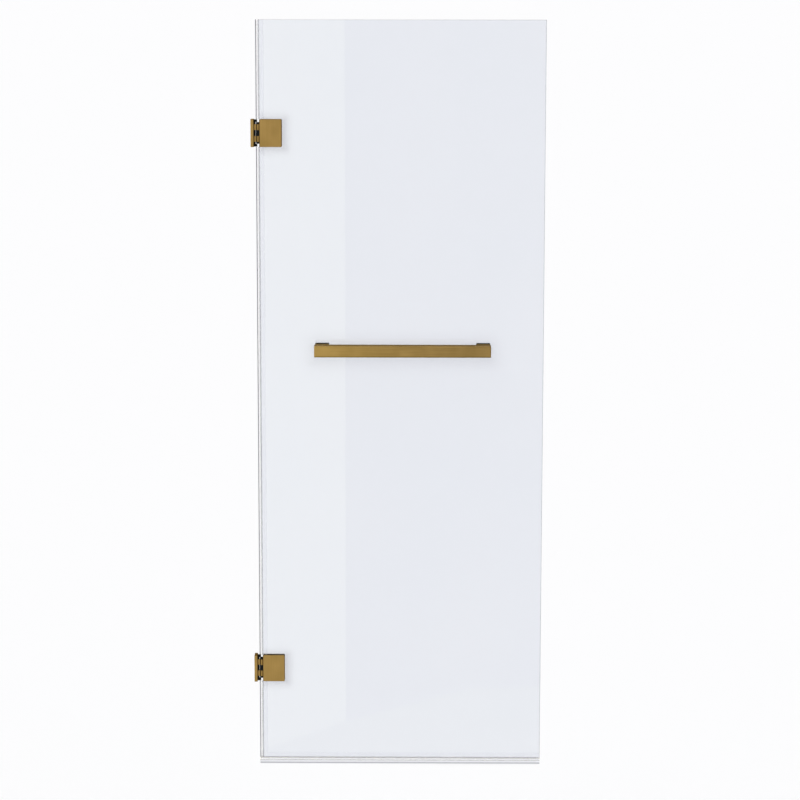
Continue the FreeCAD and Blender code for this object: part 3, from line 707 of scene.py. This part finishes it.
# Bottom sweep: a stiff clear channel under the glass, with a soft tube, wiper and drip rail
sweepSet = {
    "node": "bottom_sweep",
    "wall": 0.9 * millimetre, "web": 1.2 * millimetre, "fit": 0.05 * millimetre,
    "tubeRadius": 3.0 * millimetre, "tubeWall": 0.7 * millimetre,
    "wiper": 1.0 * millimetre, "wiperTip": 0.6 * millimetre,
    "dripReach": 7.0 * millimetre, "dripFall": 5.0 * millimetre, "dripThickness": 1.0 * millimetre,
    "rounding": 0.25 * millimetre, "weldGap": 0.02 * millimetre, "skin": 0.1 * millimetre,
    "dripTipFrom": -110, "dripTipTo": 65,        # degrees, the round end of the drip rail
    "tubeSteps": 40, "tipSteps": 8, "cornerSteps": 4,
    # painted shade lines across the lip: distance up from the wiper's tip, colour there, and how much of it
    # shows
    "bands": ((0.0, "#D4D4DA", 1.0), (1.0 * millimetre, "#BCBCC3", 1.0), (2.6 * millimetre, "#BCBCC3", 1.0),
              (3.3 * millimetre, "#EEEEF3", 1.0), (5.6 * millimetre, "#EAEAF0", 1.0),
              (6.4 * millimetre, "#E4E4EA", 0.9), (7.4 * millimetre, "#F8F8FB", 0.8),
              (10.4 * millimetre, "#F8F8FB", 0.6), (11.0 * millimetre, "#F0F0F2", 0.4),
              (12.1 * millimetre, "#F0F0F2", 0.4)),
}


def sweepProfiles(low, high):
    size = sweepSet
    outer = -low.y
    slot = outer - size["wall"]
    webTop = glassLow.z - size["fit"]
    webLow = webTop - size["web"]
    legEnd = high.z - size["wall"] / 2
    bend = size["rounding"]
    bendZ = webLow + bend
    channel = arc((-outer + bend, bendZ), bend, 180, 270, size["cornerSteps"])
    channel += arc((outer - bend, bendZ), bend, 270, 360, size["cornerSteps"])
    channel += arc((slot + size["wall"] / 2, legEnd), size["wall"] / 2, 0, 180, size["tipSteps"])
    channel += [(slot, webTop), (-slot, webTop)]
    channel += arc((-slot - size["wall"] / 2, legEnd), size["wall"] / 2, 0, 180, size["tipSteps"])

    radius = size["tubeRadius"]
    tube = (0, webLow - radius + size["tubeWall"])
    crown = math.degrees(math.asin((radius - size["tubeWall"] - size["weldGap"]) / radius))
    root = math.degrees(math.asin(size["wiper"] / 2 / radius))
    half = size["tubeSteps"] // 2
    tip = size["wiperTip"] / 2
    lip = arc(tube, radius, 180 - crown, 270 - root, half)
    lip += arc((0, low.z + tip), tip, 180, 360, size["tipSteps"])
    lip += arc(tube, radius, 270 + root, 360 + crown, half)
    boreRadius = radius - size["tubeWall"] - size["skin"]
    bore = arc(tube, boreRadius, 0, 360 - 360 / size["tubeSteps"], size["tubeSteps"] - 1)

    dripRoot = outer + size["weldGap"]
    dripEnd = outer + size["dripReach"]
    run = size["dripReach"] + size["wall"]
    dripTop = webTop + size["dripThickness"]
    endTop = dripTop - size["dripFall"]
    rootTop = dripTop - size["dripFall"] * size["wall"] / run
    rootLow = webLow + (endTop - size["dripThickness"] - webLow) * size["wall"] / run
    bead = size["dripThickness"] / 2
    dripTip = (dripEnd - bead, endTop - bead)
    drip = [(dripRoot, rootLow)]
    drip += arc(dripTip, bead, size["dripTipFrom"], size["dripTipTo"], size["tipSteps"])
    drip += [(dripRoot, rootTop)]
    return [channel], [lip, bore, drip]


def makeSweep():
    low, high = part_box(sweepSet["node"])
    lipAcross = softVinyl("softVinylAcross", "Z", low.z, sweepSet["bands"])
    channelOutlines, lipOutlines = sweepProfiles(low, high)
    values = {"Length": high.x - low.x, "Turn": alongX, "Start": (low.x, 0, 0)}
    channel = grow("sweepChannel", closedProfile("sweepChannelProfile", channelOutlines), stripMaker,
                   {**values, "Finish": channelAcross})
    lip = grow("sweepLip", closedProfile("sweepLipProfile", lipOutlines), stripMaker,
               {**values, "Finish": lipAcross})
    for piece in (lip, channel):
        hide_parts(sweepSet["node"])
        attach(piece, "door")
        piece.visible_shadow = False


makeSweep()
print("bottom sweep drawn out")


# Side seal: a stiff clear channel on the glass edge and a soft hollow lip towards the wall
sideSealSet = {
    "nodes": {"upper": "upper_side_seal", "middle": "middle_side_seal", "lower": "lower_side_seal"},
    "wall": 0.9 * millimetre, "web": 1.2 * millimetre, "fit": 0.05 * millimetre,
    "lipWall": 0.6 * millimetre, "rounding": 0.25 * millimetre, "weldGap": 0.01 * millimetre,
    "lipSteps": 48, "tipSteps": 8, "cornerSteps": 4,
    "endGap": 0.3 * millimetre,      # between the seal and the sweep
    # painted shade lines across the lip: distance from the outside of the lip, colour there, and how much of
    # it shows
    "bands": ((0.0, "#AFAEB6", 1.0), (1.4 * millimetre, "#AFAEB6", 1.0), (2.1 * millimetre, "#FCFCFD", 0.5),
              (4.4 * millimetre, "#FCFCFD", 0.3), (5.9 * millimetre, "#FCFCFD", 0.3),
              (6.0 * millimetre, "#7F7E88", 1.0), (6.95 * millimetre, "#7F7E88", 1.0),
              (7.2 * millimetre, "#D0D0D4", 1.0)),
}


def sideSealProfiles(low, high, isFoot=False):
    size = sideSealSet
    outer = high.y
    slot = outer - size["wall"]
    webHalf = slot - size["endGap"] if isFoot else outer        # the foot fits between the legs of the sweep
    webFront = glassLow.x - size["fit"]
    webBack = webFront - size["web"]
    bulbRadius = (webBack + size["lipWall"] - low.x) / 2
    bulb = (low.x + bulbRadius, 0)
    meet = math.degrees(math.acos((webBack - bulb[0]) / bulbRadius))
    bend = size["rounding"]
    back, front, flank = webBack + bend, webFront - bend, webHalf - bend
    lip = arc(bulb, bulbRadius, meet, 360 - meet, size["lipSteps"])
    for corner, turn in (((back, -flank), 180), ((front, -flank), 270),
                         ((front, flank), 0), ((back, flank), 90)):
        lip += arc(corner, bend, turn, turn + 90, size["cornerSteps"])
    bore = arc(bulb, bulbRadius - size["lipWall"], 0, 360 - 360 / size["lipSteps"], size["lipSteps"] - 1)
    legs = []
    root = webFront + size["weldGap"]
    tip = high.x - size["wall"] / 2
    for side in (-1, 1):
        near, far = sorted((side * slot, side * outer))
        roundTip = arc((tip, (near + far) / 2), size["wall"] / 2, -90, 90, size["tipSteps"])
        legs.append([(root, near)] + roundTip + [(root, far)])
    return [lip, bore], legs


def makeSideSeals():
    lipUpright = softVinyl("softVinylUpright", "X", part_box("middle_side_seal")[0].x, sideSealSet["bands"])
    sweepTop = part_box(sweepSet["node"])[1].z + sideSealSet["endGap"]
    for place, node in sideSealSet["nodes"].items():
        low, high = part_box(node)
        lipOutlines, legOutlines = sideSealProfiles(low, high)
        start = max(low.z, sweepTop)
        values = {"Length": high.z - start, "Turn": (0, 0, 0), "Start": (0, 0, start)}
        lipCurve = closedProfile(place + "LipProfile", lipOutlines)
        lip = grow(place + "SealLip", lipCurve, stripMaker, {**values, "Finish": lipUpright})
        legCurve = closedProfile(place + "ChannelProfile", legOutlines)
        channel = grow(place + "SealChannel", legCurve, stripMaker, {**values, "Finish": channelUpright})
        pieces = [lip, channel]
        if start > low.z:        # below its channel the lip runs on, into the sweep
            footCurve = closedProfile(place + "FootProfile", sideSealProfiles(low, high, True)[0])
            foot = grow(place + "SealFoot", footCurve, stripMaker, {
                **values, "Length": start - low.z, "Start": (0, 0, low.z), "Finish": lipUpright})
            pieces.append(foot)
        for piece in pieces:
            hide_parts(node)
            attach(piece, "door")
            piece.visible_shadow = False


makeSideSeals()
print("side seals drawn out:", ", ".join(sideSealSet["nodes"].values()))


# Screws and cap nuts: turned parts with hexagon sockets
clampScrewSet = {
    "node": "clamp_screws", "body": "door", "slot": "stainless_steel", "finish": stainless,
    "headRadius": 4.7 * millimetre, "pairStep": 24.0 * millimetre, "around": 48,
    "socketDepth": 1.6 * millimetre, "socketHalf": 1.5 * millimetre, "socketBevel": 0.25 * millimetre,
    "socketMouth": 1.85 * millimetre,
    # depth and radius in mm, from the rim of the head to the end of the shank
    "outline": ((0.0, 4.3), (0.06, 4.5), (0.2, 4.5), (2.4, 2.45), (13.8, 2.45), (14.2, 2.05)),
}
grubScrewSet = {
    "node": "pin_grub_screws", "body": "wall_side", "slot": "stainless_steel", "finish": stainless,
    "headRadius": 1.25 * millimetre, "pairStep": 22.95 * millimetre, "around": 36,
    "socketDepth": 1.0 * millimetre, "socketHalf": 0.65 * millimetre, "socketBevel": 0.1 * millimetre,
    "socketMouth": 0.85 * millimetre,
    "outline": ((0.0, 1.05), (0.2, 1.24), (1.5, 1.24), (1.79, 0.9)),
}


def socketRings(size):
    return [(size["socketDepth"], 0, False), (size["socketDepth"], size["socketHalf"], True),
            (size["socketBevel"], size["socketHalf"], True), (0, size["socketMouth"], False)]


def makeScrews(screwSet):
    # Two screws to each of the two hinges.
    low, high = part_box(screwSet["node"])
    outline = [(depth * millimetre, radius * millimetre, False) for depth, radius in screwSet["outline"]]
    rings = socketRings(screwSet) + outline + [(outline[-1][0], 0, False)]
    proto = ringStack(screwSet["node"] + "Proto", rings, screwSet["around"])
    firstZ = low.z + screwSet["headRadius"]
    rowStep = high.z - screwSet["headRadius"] - screwSet["pairStep"] - firstZ
    screws = grow(screwSet["node"] + "Turned", proto, gridMaker, {
        "Columns": 2, "Column Step": (0, 0, screwSet["pairStep"]), "Rows": 2, "Row Step": (0, 0, rowStep),
        "First Place": ((low.x + high.x) / 2, high.y, firstZ), "Finish": screwSet["finish"]})
    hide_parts(screwSet["node"])
    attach(screws, screwSet["body"])


rearCapSet = {
    "node": "rear_caps", "radius": 9.4 * millimetre, "around": 72, "rimSteps": 8,
    "rim": 1.8 * millimetre, "height": 8.2 * millimetre, "dome": 0.25 * millimetre,
    "footBevel": 0.4 * millimetre,
    "socketDepth": 1.6 * millimetre, "socketHalf": 2.5 * millimetre, "socketBevel": 0.3 * millimetre,
    "socketMouth": 3.25 * millimetre,
    "boreRadius": 3.02 * millimetre, "boreTop": 2.6 * millimetre,
}


def makeRearCaps():
    cap = rearCapSet
    low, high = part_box(cap["node"])
    radius = cap["radius"]
    rings = socketRings(cap)
    for step in range(cap["rimSteps"] + 1):
        turn = math.pi / 2 * step / cap["rimSteps"]
        rings.append((cap["dome"] + (cap["rim"] - cap["dome"]) * (1 - math.cos(turn)),
                      radius - cap["rim"] + cap["rim"] * math.sin(turn), False))
    foot, bore, boreTop = cap["height"], cap["boreRadius"], cap["boreTop"]
    rings += [(foot - cap["footBevel"], radius, False), (foot, radius - cap["footBevel"], False),
              (foot, bore, False), (boreTop, bore, False), (boreTop, 0, False)]
    proto = ringStack("rearCapProto", rings, cap["around"])
    spacing = high.x - low.x - 2 * radius
    caps = grow("rearCapNuts", proto, gridMaker, {
        "Columns": 2, "Column Step": (spacing, 0, 0), "Rows": 1, "Row Step": (0, 0, 0),
        "First Place": (low.x + radius, high.y, (low.z + high.z) / 2), "Finish": brassAcross})
    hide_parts(cap["node"])
    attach(caps, "door")


makeScrews(clampScrewSet)
makeScrews(grubScrewSet)
makeRearCaps()
print("screws and cap nuts set")
